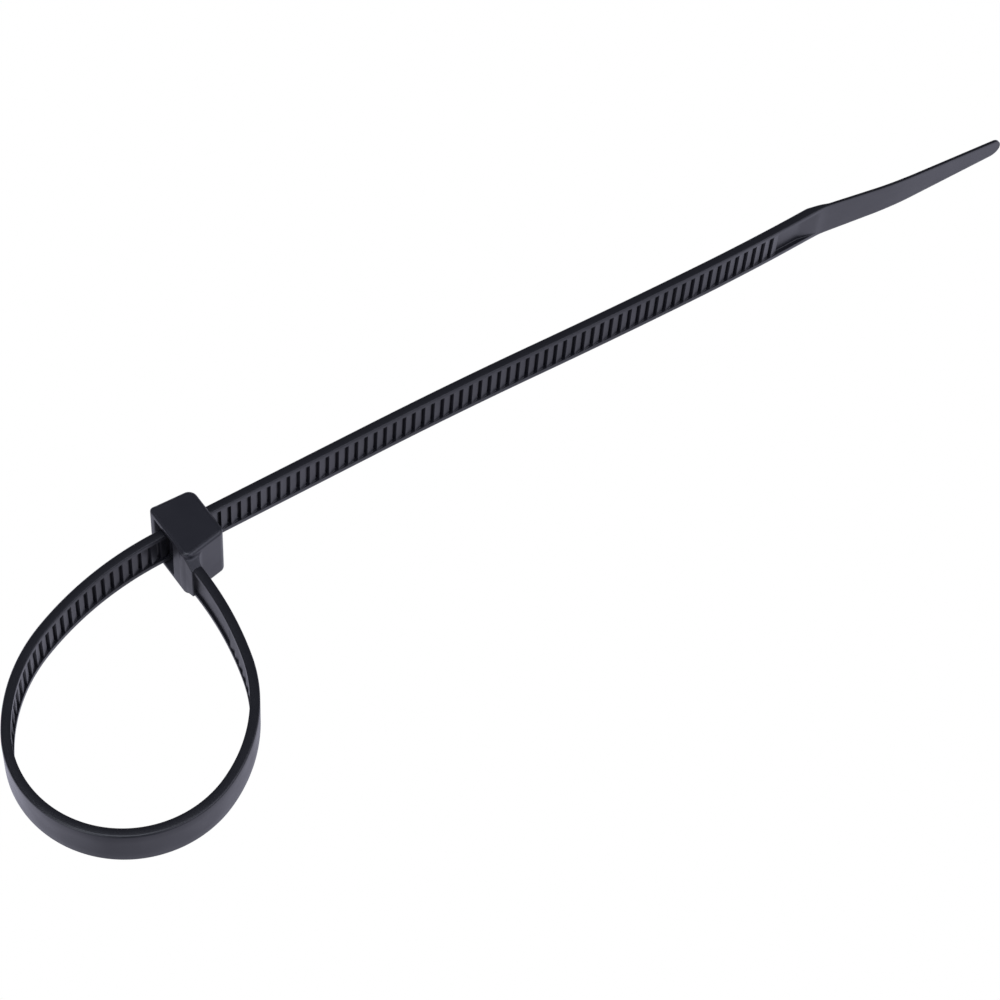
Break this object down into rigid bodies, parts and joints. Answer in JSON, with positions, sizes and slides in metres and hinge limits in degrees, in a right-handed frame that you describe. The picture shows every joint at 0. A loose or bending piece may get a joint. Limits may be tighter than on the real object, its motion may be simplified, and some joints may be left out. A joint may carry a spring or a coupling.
{
  "type": "cable tie",
  "caption": "Closed cable tie with a toothed strap bent into a drop-shaped loop, a locking head with a pawl, and a long straight tail with a thin tapered tip.",
  "frame": {"origin": "centre of the loop's round end, halfway up the strap's width", "axes": "+Z along the strap's width, which is the loop's axis; +X the way the strap runs through the head and out into the tail; the loop lies towards -Y of the head"},
  "size_m": [0.1292, 0.0311, 0.0074],
  "materials": {
    "nylon": "satin"
  },
  "bodies": {
    "root": {"cable_tie": "nylon"}
  },
  "joints": []
}
